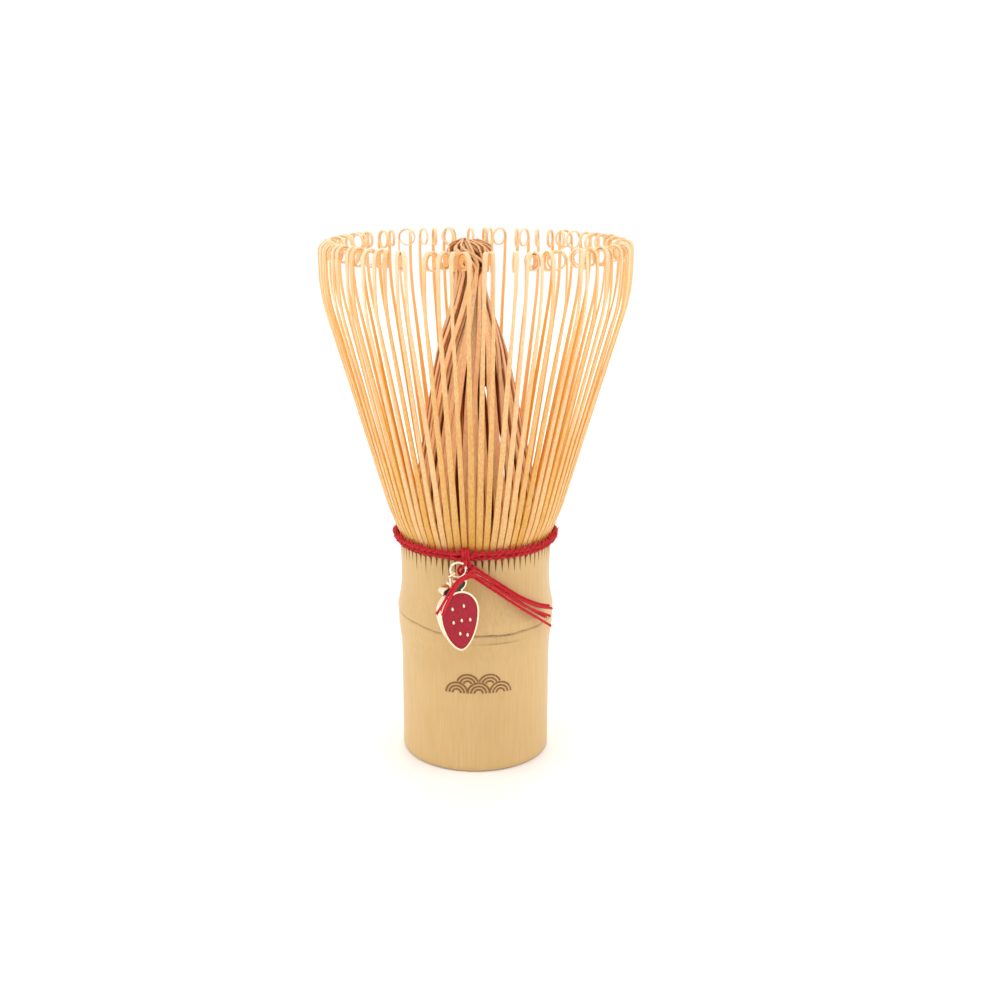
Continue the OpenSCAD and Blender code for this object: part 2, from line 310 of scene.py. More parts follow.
@dataclass(frozen=True)
class Enamel:
    """Soft enamel poured into a walled pocket: coloured resin with fine pigment grains."""

    name: str
    deep: str
    main: str
    light: str
    grain_mm: float = 0.16

    def make(self) -> bpy.types.Material:
        """Builds the material. The pigment grains are drawn about 4 times as coarse as real ones."""
        material, tree, shader = new_material(self.name)
        place = add(tree, "ShaderNodeTexCoord").outputs["Object"]
        scaled = 1 / (self.grain_mm * MM)
        spots = add(tree, "ShaderNodeMapping", {"Vector": place, "Scale": (scaled, scaled, scaled)})
        grains = add(
            tree, "ShaderNodeTexNoise", {"Vector": spots.outputs["Vector"], "Scale": 1.0, "Detail": 2.0}
        ).outputs["Fac"]
        colour = add(
            tree, "ShaderNodeValToRGB", {"Fac": grains},
            stops=((0.3, self.deep), (0.52, self.main), (0.75, self.light)),
        ).outputs["Color"]
        tree.links.new(colour, shader.inputs["Base Color"])
        bump = add(
            tree, "ShaderNodeBump", {"Height": grains, "Strength": 0.2, "Distance": 0.02 * MM}
        ).outputs["Normal"]
        tree.links.new(bump, shader.inputs["Normal"])
        shader.inputs["Roughness"].default_value = 0.5
        shader.inputs["IOR"].default_value = 1.45
        shader.inputs["Specular IOR Level"].default_value = 0.3
        shader.inputs["Coat Weight"].default_value = 0.12
        shader.inputs["Coat Roughness"].default_value = 0.15
        return material


@dataclass(frozen=True)
class Etching:
    """Skin burnt by a marking laser: flat brown, a little rougher than the bamboo around it."""

    name: str = "laser_etched_bamboo"
    main: str = "#7d542c"
    light: str = "#94693c"

    def make(self) -> bpy.types.Material:
        """Builds the material: the burn follows the fibres, in streaks 0.25 mm wide."""
        material, tree, shader = new_material(self.name)
        place = add(tree, "ShaderNodeTexCoord").outputs["Object"]
        streaks = add(tree, "ShaderNodeMapping", {"Vector": place, "Scale": (4000.0, 4000.0, 300.0)})
        fibres = add(
            tree, "ShaderNodeTexNoise", {"Vector": streaks.outputs["Vector"], "Scale": 1.0}
        ).outputs["Fac"]
        burn = add(
            tree, "ShaderNodeValToRGB", {"Fac": fibres}, stops=((0.35, self.main), (0.8, self.light))
        ).outputs["Color"]
        tree.links.new(burn, shader.inputs["Base Color"])
        shader.inputs["Roughness"].default_value = 0.7
        return material


@dataclass
class Finishes:
    """Every material of the whisk, made once."""

    skin: bpy.types.Material = field(default_factory=Bamboo(
        name="waxed_bamboo_skin", dark="#c59f64", tan="#cfab70", pale="#d6b47b", flesh="#d3a968",
        fibre_mm=0.16, fibre_run_mm=7.0, roughness=0.46, wax=0.25, glow=0.1, cloudy=0.5).make)
    tine: bpy.types.Material = field(default_factory=Bamboo(
        name="shaved_bamboo_tine", dark="#dba868", tan="#e9bf86", pale="#f6d8a6", flesh="#f2b45c",
        fibre_mm=0.2, fibre_run_mm=9.0, roughness=0.45, wax=0.2, glow=0.4, fading=0.28).make)
    strand: bpy.types.Material = field(default_factory=Bamboo(
        name="split_bamboo_strand", dark="#d8975a", tan="#e8b27c", pale="#f6d2a2", flesh="#b4592a",
        fibre_mm=0.2, fibre_run_mm=8.0, roughness=0.45, wax=0.2, glow=0.3).make)
    # painted shade: a dark red-brown that stands in for the shade deep inside the knot and neck, seen between
    # the strands
    painted_shade_core: bpy.types.Material = field(default_factory=Bamboo(
        name="dark_painted_shade", dark="#561a0c", tan="#6e2812", pale="#85381a", flesh="#561a0c",
        fibre_mm=0.3, fibre_run_mm=6.0, roughness=0.75, wax=0.0, glow=0.0).make)
    thread: bpy.types.Material = field(default_factory=CottonThread().make)
    twine: bpy.types.Material = field(default_factory=CottonThread(
        name="twisted_cotton_twine", deep="#80060f", main="#c41322", light="#ee3238").make)
    rim_gold: bpy.types.Material = field(default_factory=GoldPlate("pale_gold_plate", "#f7e3c4", 0.2).make)
    ring_gold: bpy.types.Material = field(default_factory=GoldPlate("white_gold_wire", "#f3e6d2", 0.14).make)
    red: bpy.types.Material = field(default_factory=Enamel(
        name="crimson_soft_enamel", deep="#8f0a22", main="#a31029", light="#b7203a").make)
    green: bpy.types.Material = field(default_factory=Enamel(
        name="green_soft_enamel", deep="#0c2c20", main="#113d2c", light="#1d5240").make)
    etching: bpy.types.Material = field(default_factory=Etching().make)


# ---- blanks, and laying them along a run ----


@dataclass(frozen=True)
class Blank:
    """A straight bar one unit long and one unit across, from which strips, strands and threads are laid."""

    points: np.ndarray
    faces: list[tuple[int, ...]]


@dataclass
class Run:
    """A run of points that a blank is laid along.

    Attributes:
        points: Points along the middle, in metres.
        facing: Direction that the outer face looks in at each point.
        width: Size across the outer face at each point, in metres.
        depth: Size through the outer face at each point, in metres.
        tone: Share from dark to pale, for the whole run or at each point.
    """

    points: np.ndarray
    facing: np.ndarray
    width: np.ndarray
    depth: np.ndarray
    tone: float | np.ndarray = 0.5

    def tones(self, blank: np.ndarray) -> np.ndarray:
        """The tone at each of a blank's points."""
        at = np.linspace(0, 1, len(self.points))
        return np.interp(blank[:, 2], at, np.broadcast_to(self.tone, len(self.points)))

    def carry(self, blank: np.ndarray) -> np.ndarray:
        """Moves a blank's points onto the run.

        Args:
            blank: The blank's points, with z from 0 to 1 along it.

        Returns:
            The points in place.
        """
        tangent = unit(np.gradient(self.points, axis=0))
        facing = unit(self.facing - tangent * (self.facing * tangent).sum(1, keepdims=True))
        across = np.cross(facing, tangent)
        last = len(self.points) - 1
        at = np.clip(blank[:, 2] * last, 0, last)
        low = np.minimum(at.astype(int), last - 1)
        share = at - low

        def mixed(values: np.ndarray) -> np.ndarray:
            """Values of the run at each of the blank's points."""
            part = share if values.ndim == 1 else share[:, None]
            return values[low] * (1 - part) + values[low + 1] * part

        placed = mixed(self.points) + mixed(across) * (blank[:, 0] * mixed(self.width))[:, None]
        return placed + mixed(facing) * (blank[:, 1] * mixed(self.depth))[:, None]


def unit(vectors: np.ndarray) -> np.ndarray:
    """Vectors scaled to a length of 1."""
    return vectors / np.maximum(np.linalg.norm(vectors, axis=-1, keepdims=True), 1e-12)


def deselect() -> None:
    """Deselects every object, so that an operator acts only on what comes next."""
    for chosen in list(bpy.context.selected_objects):
        chosen.select_set(False)


def choose(piece: bpy.types.Object) -> None:
    """Makes a piece the only selected and the active one."""
    deselect()
    piece.select_set(True)
    bpy.context.view_layer.objects.active = piece


def pick_long_edges(piece: bpy.types.Object) -> None:
    """Selects the edges that run along a blank, in edit mode."""
    bpy.ops.mesh.select_mode(type="EDGE")
    bpy.ops.mesh.select_all(action="DESELECT")
    shape = bmesh.from_edit_mesh(piece.data)
    for edge in shape.edges:
        run = edge.verts[1].co - edge.verts[0].co
        if abs(run.z) > 1e-6 and math.hypot(run.x, run.y) < 1e-6:
            edge.select_set(True)
    bmesh.update_edit_mesh(piece.data)


def whittle(sides: int, spans: int, steps: int = 1, chamfer: float = 0.0) -> Blank:
    """Models a blank: a bar that is chamfered along its edges and cut across into short stretches.

    Args:
        sides: Number of sides: 4 is a square bar, more is a round one.
        spans: Number of stretches that the bar is first cut into.
        steps: Number of stretches that each of those is cut into.
        chamfer: Width taken off the long edges of a square bar.

    Returns:
        The blank.
    """
    deselect()
    if sides == 4:
        bpy.ops.mesh.primitive_cube_add(size=1.0, location=(0.0, 0.0, 0.5))
    else:
        bpy.ops.mesh.primitive_cylinder_add(vertices=sides, radius=0.5, depth=1.0, location=(0.0, 0.0, 0.5))
    bar = bpy.context.object
    bpy.ops.object.mode_set(mode="EDIT")
    pick_long_edges(bar)
    if chamfer:
        bpy.ops.mesh.bevel(offset=chamfer, segments=1, affect="EDGES")
        pick_long_edges(bar)
    for cuts in (spans, steps):
        if cuts > 1:
            bpy.ops.mesh.subdivide(number_cuts=cuts - 1)
            pick_long_edges(bar)
    bpy.ops.object.mode_set(mode="OBJECT")
    bpy.ops.object.transform_apply(location=True, rotation=True, scale=True)
    points = np.array([vertex.co[:] for vertex in bar.data.vertices])
    faces = [tuple(face.vertices) for face in bar.data.polygons]
    bpy.data.objects.remove(bar)
    if chamfer:
        # a bevel can hand its points back in another order each run, so they are put in a fixed one
        order = np.lexsort(np.round(points, 5).T)
        new_number = np.argsort(order)
        points = points[order]
        faces = sorted(tuple(int(new_number[v]) for v in face) for face in faces)
    return Blank(points, faces)


def set_attribute(piece: bpy.types.Object, name: str, values: np.ndarray) -> None:
    """Stores one number for each of a mesh's points."""
    piece.data.attributes.new(name, "FLOAT", "POINT").data.foreach_set("value", values.astype(np.float32))


def settle(piece: bpy.types.Object, finish: bpy.types.Material, smooth_deg: float) -> bpy.types.Object:
    """Turns a closed mesh's faces outwards, smooths its shading and dresses it.

    Args:
        piece: The mesh's object.
        finish: Its material.
        smooth_deg: Edges that turn by more than this stay sharp.

    Returns:
        The piece.
    """
    choose(piece)
    bpy.ops.object.mode_set(mode="EDIT")
    bpy.ops.mesh.select_all(action="SELECT")
    bpy.ops.mesh.normals_make_consistent(inside=False)
    bpy.ops.object.mode_set(mode="OBJECT")
    bpy.ops.object.shade_smooth_by_angle(angle=math.radians(smooth_deg))
    piece.data.materials.clear()
    piece.data.materials.append(finish)
    return piece


def lay(name: str, blank: Blank, runs: Sequence[Run], finish: bpy.types.Material,
        smooth_deg: float = 50.0) -> bpy.types.Object:
    """Lays one copy of a blank along each run, and joins them in one piece.

    Args:
        name: The piece's name.
        blank: The blank to copy.
        runs: One run for each copy.
        finish: The piece's material.
        smooth_deg: Edges that turn by more than this stay sharp.

    Returns:
        The piece.
    """
    size = len(blank.points)
    places = np.concatenate([run.carry(blank.points) for run in runs])
    faces = [tuple(v + copy * size for v in face) for copy in range(len(runs)) for face in blank.faces]
    mesh = bpy.data.meshes.new(name)
    mesh.from_pydata(places.tolist(), [], faces)
    piece = bpy.data.objects.new(name, mesh)
    bpy.context.scene.collection.objects.link(piece)
    set_attribute(piece, "face", np.tile(np.clip(blank.points[:, 1] + 0.5, 0, 1), len(runs)))
    set_attribute(piece, "tone", np.concatenate([run.tones(blank.points) for run in runs]))
    set_attribute(piece, "scar", np.zeros(size * len(runs)))
    return settle(piece, finish, smooth_deg)


def dress(piece: bpy.types.Object, body: str, stands_for: Iterable[str] = ()) -> None:
    """Sets the body that a piece moves with and the CAD nodes it stands for, and reports it.

    Args:
        piece: The finished piece.
        body: The CAD body's name.
        stands_for: CAD nodes that the piece replaces.
    """
    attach(piece, body)
    if stands_for:
        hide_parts(*stands_for)
    log.info("%s: %d faces, rides on %s", piece.name, len(piece.data.polygons), body)


def through(points: Sequence[Sequence[float]], steps: int) -> np.ndarray:
    """A smooth run through points.

    Args:
        points: The points, at least 3, of any number of coordinates.
        steps: Number of steps between two neighbours.

    Returns:
        The run's points.
    """
    given = np.array(points, float)
    padded = np.concatenate([[2 * given[0] - given[1]], given, [2 * given[-1] - given[-2]]])
    made = []
    for p0, p1, p2, p3 in zip(padded, padded[1:], padded[2:], padded[3:]):
        for share in np.arange(steps) / steps:
            square, cube = share**2, share**3
            made.append(0.5 * (2 * p1 + (p2 - p0) * share + (2 * p0 - 5 * p1 + 4 * p2 - p3) * square
                               + (3 * p1 - p0 - 3 * p2 + p3) * cube))
    return np.array(made + [given[-1]])


def evenly(points: np.ndarray, count: int) -> np.ndarray:
    """The same run with count points, evenly spaced along it."""
    along = np.concatenate([[0], np.cumsum(np.linalg.norm(np.diff(points, axis=0), axis=1))])
    at = np.linspace(0, along[-1], count)
    return np.stack([np.interp(at, along, column) for column in points.T], axis=1)


def ply_runs(middle: np.ndarray, diameter: float, pitch: float, plies: int, rng: random.Random,
             frayed: bool = True) -> list[Run]:
    """Runs of the plies that are twisted together into one thread.

    Args:
        middle: The thread's centreline, evenly spaced, in metres.
        diameter: The thread's diameter, in metres.
        pitch: Length of one full twist, in metres.
        plies: Number of plies.
        rng: Source of the small differences.
        frayed: True if the last millimetre comes untwisted.

    Returns:
        One run for each ply.
    """
    ply_d, reach = diameter * 0.54, diameter * 0.24
    tangent = unit(np.gradient(middle, axis=0))
    side = unit(np.cross(tangent[0], (0.2, 0.9, 0.4)))
    sides = []
    for direction in tangent:
        side = unit(side - direction * (side @ direction))
        sides.append(side)
    first = np.array(sides)
    second = np.cross(tangent, first)
    length = np.concatenate([[0], np.cumsum(np.linalg.norm(np.diff(middle, axis=0), axis=1))])
    spread = 1 + 0.9 * np.clip((length - length[-1] + 1.2 * MM) / (1.2 * MM), 0, 1) ** 2 * frayed
    runs = []
    for ply in range(plies):
        turn = 2 * math.pi * (length / pitch + ply / plies) + rng.uniform(-0.3, 0.3)
        offset = first * np.cos(turn)[:, None] + second * np.sin(turn)[:, None]
        taper = ply_d * (1 - 0.35 * np.clip((length - length[-1] + 0.8 * MM) / (0.8 * MM), 0, 1) * frayed)
        points = middle + offset * (reach * spread)[:, None]
        runs.append(Run(points, first, taper, taper, rng.uniform(0.3, 0.7)))
    return runs


def around(radius: float, turn_deg: float, height: float) -> np.ndarray:
    """A point at that radius and turn about the culm's axis, all in the units given."""
    turn = math.radians(turn_deg)
    return np.array((radius * math.cos(turn), radius * math.sin(turn), height))


# ---- camera, floor and lights ----


@dataclass
class Studio:
    """A pale floor, soft light from all round, and a camera a little above the whisk's rim."""

    distance: float = 0.2528
    height: float = 0.1205
    tilt_deg: float = 15.49
    lens_mm: float = 48.97
    shift: float = 0.0245
    floor_size: float = 60.0

    def place_camera(self) -> None:
        """Sets up the camera in front of the whisk."""
        lens = bpy.data.cameras.new("camera")
        lens.lens = self.lens_mm
        lens.sensor_width = 36.0
        lens.shift_x = self.shift
        lens.clip_start = 0.01
        camera = bpy.data.objects.new("camera", lens)
        camera.location = (0.0, -self.distance, self.height)
        camera.rotation_euler = (math.radians(90 - self.tilt_deg), 0.0, 0.0)
        bpy.context.scene.collection.objects.link(camera)
        bpy.context.scene.camera = camera

    def lay_floor(self) -> None:
        """Makes the plain pale floor."""
        deselect()
        bpy.ops.mesh.primitive_plane_add(size=self.floor_size, location=(0.0, 0.0, 0.0))
        floor = bpy.context.object
        floor.name = "studio_floor"
        material, _, shader = new_material("pale_floor")
        shader.inputs["Base Color"].default_value = linear("#fdfdfc")
        shader.inputs["Roughness"].default_value = 0.6
        floor.data.materials.append(material)

    def hang_light(self, name: str, place: tuple[float, float, float], size: float, power: float,
                   colour: str) -> None:
        """Hangs one soft panel that faces the middle of the whisk.

        Args:
            name: The panel's name.
            place: Where it hangs, in metres.
            size: Its width, in metres.
            power: Its power, in watts.
            colour: Its colour.
        """
        panel = bpy.data.lights.new(name, "AREA")
        panel.size = size
        panel.energy = power
        panel.color = linear(colour)[:3]
        holder = bpy.data.objects.new(name, panel)
        holder.location = place
        aim = (np.array((0.0, 0.0, 0.055)) - np.array(place)).tolist()
        holder.rotation_euler = turn_towards(aim)
        bpy.context.scene.collection.objects.link(holder)

    def light_up(self) -> None:
        """Lights the set: a white room, a panel at each side, and one behind the tines."""
        scene = bpy.context.scene
        scene.view_settings.view_transform = "Standard"
        scene.view_settings.look = "None"
        world = bpy.data.worlds.new("white_room")
        world.use_nodes = True
        world.node_tree.nodes["Background"].inputs["Color"].default_value = linear("#ffffff")
        world.node_tree.nodes["Background"].inputs["Strength"].default_value = 1.03
        scene.world = world
        self.hang_light("left_panel", (-0.5, -0.1, 0.35), 0.5, 0.9, "#fffaf4")
        self.hang_light("right_panel", (0.5, -0.1, 0.35), 0.5, 0.8, "#fff8f0")
        self.hang_light("back_panel", (0.05, 0.6, 0.35), 0.6, 1.2, "#fff4e4")


def turn_towards(direction: Sequence[float]) -> tuple[float, float, float]:
    """Turn that points a light's face along a direction."""
    x, y, z = direction
    return math.atan2(math.hypot(x, y), -z), 0.0, math.atan2(-x, y)


# ---- loose thread ends ----


@dataclass
class TieThreads:
    """The loose threads. Three run from a right end through the knot and over the ring. One doubles back."""

    thread: bpy.types.Material
    diameter: float = 0.55 * MM
    pitch: float = 1.5 * MM
    exit_mm: tuple[float, float, float] = (-0.6, -17.4, 41.4)
    right_low: tuple = ((14.4, -8.7, 27.9), (12.2, -11.1, 30.1), (10.2, -12.8, 31.9), (8.2, -14.1, 33.6),
                        (6.2, -15.1, 35.3), (4.2, -15.9, 37.0), (2.4, -16.5, 38.4), (0.8, -17.0, 39.7),
                        (-0.2, -17.4, 40.5))
    right_middle: tuple = ((14.2, -9.2, 30.1), (12.2, -11.4, 31.6), (10.2, -13.1, 33.0), (8.2, -14.4, 34.5),
                           (6.2, -15.5, 36.2), (4.2, -16.3, 37.8), (2.4, -16.9, 39.2), (0.8, -17.4, 40.4),
                           (-0.2, -17.8, 41.2))
    right_upper: tuple = ((14.6, -8.5, 31.4), (12.2, -11.1, 32.6), (10.2, -12.8, 33.9), (8.2, -14.1, 35.3),
                          (6.2, -15.1, 36.9), (4.2, -15.9, 38.5), (2.4, -16.5, 40.0), (0.8, -17.0, 41.1),
                          (-0.2, -17.4, 41.9))
    bight: tuple = ((14.0, -8.4, 31.9), (12.2, -10.4, 32.9), (10.2, -12.1, 34.2), (8.2, -13.4, 35.6),
                    (6.2, -14.4, 37.2), (4.2, -15.2, 38.8), (2.4, -15.8, 40.2), (0.8, -16.2, 41.5),
                    (-0.6, -16.5, 42.5), (-1.8, -16.7, 42.9), (-2.8, -16.7, 42.5), (-3.2, -16.7, 41.7),
                    (-2.8, -16.7, 40.9), (-1.8, -16.6, 40.4), (-0.6, -16.4, 40.3), (0.8, -16.1, 40.1),
                    (2.4, -15.7, 39.0), (4.2, -15.1, 37.7), (6.2, -14.3, 36.0), (8.2, -13.4, 34.4),
                    (10.2, -12.1, 32.7), (12.2, -10.4, 30.9), (13.4, -9.2, 29.8))
    left_1: tuple = ((-1.4, -19.3, 41.8), (-2.4, -19.5, 41.3), (-3.4, -19.9, 40.6), (-4.2, -20.3, 39.6),
                     (-4.9, -20.6, 38.5), (-5.6, -21.0, 37.3), (-6.3, -21.3, 36.1), (-7.1, -21.7, 35.0))
    left_2: tuple = ((-1.3, -19.3, 41.2), (-2.3, -19.5, 40.7), (-3.1, -19.8, 39.9), (-3.8, -20.1, 39.0),
                     (-4.4, -20.4, 38.0), (-5.0, -20.7, 36.9), (-5.5, -21.0, 35.8), (-6.0, -21.2, 34.6))
    left_3: tuple = ((-1.5, -19.9, 41.8), (-2.4, -20.1, 41.1), (-3.3, -20.5, 40.2), (-4.0, -20.8, 39.2),
                     (-4.6, -21.1, 38.2), (-5.1, -21.4, 37.1), (-5.5, -21.6, 36.1), (-5.8, -21.8, 35.0))
    # the place in front of the ring where a thread passes from the whisk to the ring
    whisk_side_mm: tuple[float, float, float] = (-1.0, -18.4, 41.6)
    ring_side_mm: tuple[float, float, float] = (-3.2, -19.6, 40.6)
    ring_step: float = 0.22 * MM

    def make_thread(
        self, name: str, route: Sequence[Sequence[float]], seed: int
    ) -> tuple[bpy.types.Object, np.ndarray]:
        """Twists one thread along a route.

        Args:
            name: The piece's name.
            route: The centreline's points, in millimetres.
            seed: Seed of its small differences.

        Returns:
            The piece and its centreline.
        """
        smooth = through(route, 8) * MM
        length = float(np.linalg.norm(np.diff(smooth, axis=0), axis=1).sum())
        steps = max(60, round(length / self.ring_step))
        middle = evenly(smooth, steps + 1)
        spans = math.ceil(steps / 90)
        blank = whittle(sides=6, spans=spans, steps=math.ceil(steps / spans))
        runs = ply_runs(middle, self.diameter, self.pitch, 3, random.Random(seed))
        return lay(name, blank, runs, self.thread, 80.0), middle

    def build(self) -> None:
        """Makes the three threads that pass over the ring, and the folded one that stays on the whisk."""
        crossings = (((-0.7, -18.4, 41.4),), ((-0.7, -18.5, 41.4),), ((-0.7, -18.9, 42.3),))
        ways = ((self.right_low, self.left_1), (self.right_middle, self.left_2),
                (self.right_upper, self.left_3))
        nodes = (("tie_tail_low", "tie_end_1"), ("tie_tail_middle", "tie_end_2"),
                 ("tie_tail_upper", "tie_end_3"))
        for number, ((right, left), crossing, stands_for) in enumerate(zip(ways, crossings, nodes), start=1):
            piece, middle = self.make_thread(f"tie_thread_{number}", right + crossing + left, 40 + number)
            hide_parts(*stands_for)
            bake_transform(piece)
            log.info("%s: %d faces, bends from the whisk to the ring", piece.name, len(piece.data.polygons))
        piece, middle = self.make_thread("tie_thread_4", self.bight, 44)
        dress(piece, Body.WHISK.value, ("tie_bight",))


# ---- the culm ----


@dataclass
class Culm:
    """The handle: bamboo with its node, hollow below it, and the comb that the tines are split from."""

    finish: bpy.types.Material
    etching: bpy.types.Material
    grip_r: float = 14.4
    bore_r: float = 10.2
    septum_z: float = 26.0
    septum_top: float = 29.5
    cup_r: float = 11.4
    top: float = 43.0
    tines: int = 72
    slot_start: float = 40.4
    slot_depth: float = 1.25
    columns_per_tine: int = 6

    # radius of the skin at each height, from the grip over the two ridges of the node to the comb
    skin_mm: tuple = ((0.5, 14.4), (10.0, 14.42), (20.0, 14.46), (22.5, 14.55), (24.8, 14.82), (26.3, 15.0),
                      (27.6, 15.03), (28.6, 15.06), (29.9, 15.13), (31.1, 14.92), (32.4, 14.65), (33.6, 14.5),
                      (35.5, 14.38), (38.6, 14.4), (41.0, 14.48), (43.0, 14.5))

    def scar_height(self, turn: np.ndarray) -> np.ndarray:
        """Height of the line that the sheath left around the culm, which climbs on the left and wavers."""
        left = np.clip(np.cos(turn - math.pi), 0, 1)
        waver = 0.06 * np.sin(7 * turn) + 0.05 * np.sin(13 * turn + 1.0) + 0.03 * np.sin(31 * turn)
        return 28.5 - 0.45 * np.cos(turn + math.radians(80)) + 0.8 * left**2 + waver

    def rows(self) -> np.ndarray:
        """The closed outline that is turned about the axis, as radius and height, from under the septum."""
        inside = [(0.4, self.septum_z), (5.0, self.septum_z), (9.7, self.septum_z - 0.1),
                  (self.bore_r, self.septum_z - 0.6), (self.bore_r, 18.0), (self.bore_r, 9.0),
                  (self.bore_r, 0.7),
                  (10.35, 0.15), (10.6, 0.0), (12.4, 0.0), (13.7, 0.0), (14.0, 0.04), (14.28, 0.22)]
        heights = np.concatenate([np.arange(0.5, 25.5, 1.0), np.arange(25.5, 31.5, 0.1),
                                  np.arange(31.5, 39.0, 0.6),
                                  np.arange(39.0, self.top - 0.1, 0.2)])
        known_z, known_r = zip(*self.skin_mm)
        outside = [(float(np.interp(z, known_z, known_r)), float(z)) for z in heights]
        over = [(14.38, self.top), (13.0, self.top), (self.cup_r + 0.2, self.top),
                (self.cup_r, self.top - 0.2),
                (self.cup_r, 36.0), (self.cup_r, self.septum_top + 1.0), (self.cup_r - 0.8, self.septum_top),
                (5.0, self.septum_top), (0.4, self.septum_top)]
        return np.array(inside + outside + over)

    def slot_shape(
        self, height: np.ndarray, slot: np.ndarray, starts: np.ndarray
    ) -> tuple[np.ndarray, np.ndarray]:
        """Width and depth of the saw slots between the tines, which open upwards.

        Args:
            height: Height of each point, in millimetres.
            slot: Number of the slot nearest each point.
            starts: Height at which each slot starts.

        Returns:
            Half the slot's width and its depth at each point, in millimetres.
        """
        rise = np.clip((height - starts[slot]) / (self.top - starts[slot]), 0, 1)
        return 0.02 + 0.26 * rise, self.slot_depth * np.clip(rise * 3.5, 0, 1)

    def build_body(self) -> bpy.types.Object:
        """Turns the culm and cuts its node and comb."""
        rng = random.Random(11)
        rows = self.rows()
        steps = len(rows) - 1
        spans = 2
        while steps % spans:
            rows = np.insert(rows, 1, rows[0] * (1, 1) + (0.5, 0.0), axis=0)
            steps = len(rows) - 1
        columns = self.tines * self.columns_per_tine
        blank = whittle(sides=columns, spans=spans, steps=steps // spans)
        row = np.rint(blank.points[:, 2] * steps).astype(int)
        bearing = np.arctan2(blank.points[:, 1], blank.points[:, 0])
        column = np.rint(bearing / (2 * math.pi) * columns).astype(int)
        slot, place = np.divmod(column % columns, self.columns_per_tine)
        radius, height = rows[row].T
        skin = (row >= 12) & (radius > self.cup_r + 1)
        starts = np.array([self.slot_start + rng.choice((-0.9, -0.3, 0.0, 0.2, 0.5))
                           + rng.uniform(-0.25, 0.25)
                           for _ in range(self.tines)])
        half, depth = self.slot_shape(height, slot, starts)
        half = np.where(skin, half, 0.02)
        half_turn = half / self.grip_r
        pitch = 2 * math.pi / self.tines
        offsets = np.stack([-half_turn, -0.9 * half_turn, 0.9 * half_turn, half_turn,
                            np.full_like(half, 0.36 * pitch), np.full_like(half, 0.64 * pitch)])
        turn = slot * pitch + offsets[place, np.arange(len(place))]
        in_slot = ((place == 1) | (place == 2)) & skin
        crowned = ((place >= 4) & skin) * 0.05 * np.clip((height - 40.0) / 3, 0, 1)
        scar_z = self.scar_height(turn)
        groove = np.exp(-(((height - scar_z) / 0.22) ** 2))
        lip = np.exp(-(((height - scar_z - 0.45) / 0.28) ** 2))
        fibre_wave = 0.012 * np.sin(turn * 61) + 0.01 * np.sin(turn * 97 + 2)
        shape = skin * (fibre_wave - 0.2 * groove + 0.07 * lip + crowned)
        radius = radius + shape - depth * in_slot * (height > starts[slot])
        out_of_round = 1 + 0.003 * np.cos(2 * turn + 0.7) * skin
        points = np.stack(
            [radius * out_of_round * np.cos(turn), radius * out_of_round * np.sin(turn), height], 1)
        mesh = bpy.data.meshes.new("bamboo_culm")
        mesh.from_pydata((points * MM).tolist(), [], blank.faces)
        culm = bpy.data.objects.new("bamboo_culm", mesh)
        bpy.context.scene.collection.objects.link(culm)
        far = np.degrees(np.arctan2(np.sin(turn - math.radians(-72)), np.cos(turn - math.radians(-72))))
        broken = 0.75 + 0.25 * np.sin(turn * 43) * np.sin(turn * 71 + 1)
        front = (0.42 + 0.2 * np.sin(turn * 3 + 2.2) + 0.75 * np.exp(-((far / 26) ** 2))) * broken
        # the sharp second line under the scar is a real mark; the broad band just above it, below the node's
        # scar, is a painted shadow
        under = height - 26.2 - 0.25 * np.cos(turn + 1.0)
        second = ((np.exp(-((under / 0.16) ** 2)) + 0.25 * np.exp(-(((under - 0.7) / 0.8) ** 2)))
                  * np.exp(-((far / 15) ** 2)))
        # painted shade along the lowest 0.35 mm of the foot, where the culm stands on the floor
        foot = np.exp(-((height / 0.35) ** 2)) * 0.35
        # share of the scar colour: the real scar and its second line, plus the painted shadow band and the
        # painted shade at the foot
        scar_and_painted_shade = np.where(skin, 0.9 * groove * np.clip(front, 0.2, 1) + 0.45 * second + foot, 0)
        set_attribute(culm, "scar", np.clip(scar_and_painted_shade, 0, 1))
        set_attribute(culm, "face", np.where(skin, 1.0, 0.0))
        set_attribute(culm, "tone", np.full(len(points), 0.5))
        return settle(culm, self.finish, 42.0)

    def build_mark(self) -> bpy.types.Object:
        """A plain wave pattern etched on the front: rows of fans, each of three arcs."""
        runs = []
        blank = whittle(sides=4, spans=14)
        radii = (2.1, 1.45, 0.8)
        fans = [(-4.2, 16.4), (0.0, 16.4), (4.2, 16.4), (-2.1, 18.1), (2.1, 18.1)]
        for across, height in fans:
            lowest = 0.0 if height < 17 else 20.0
            for radius in radii:
                turns = np.radians(np.linspace(lowest, 180 - lowest, 15))
                u, v = 0.6 + across + radius * np.cos(turns), height + radius * np.sin(turns)
                middle = np.array([around(self.grip_r + 0.05, FRONT_DEG + math.degrees(a / self.grip_r), b)
                                   for a, b in zip(u, v)]) * MM
                facing = middle * (1, 1, 0)
                runs.append(Run(middle, facing, np.full(15, 0.38 * MM), np.full(15, 0.04 * MM)))
        return lay("etched_waves", blank, runs, self.etching)

    def build(self) -> None:
        """Makes the culm and its etched mark."""
        dress(self.build_body(), Body.WHISK.value, ("handle_culm",))
        dress(self.build_mark(), Body.WHISK.value)


# ---- tines ----


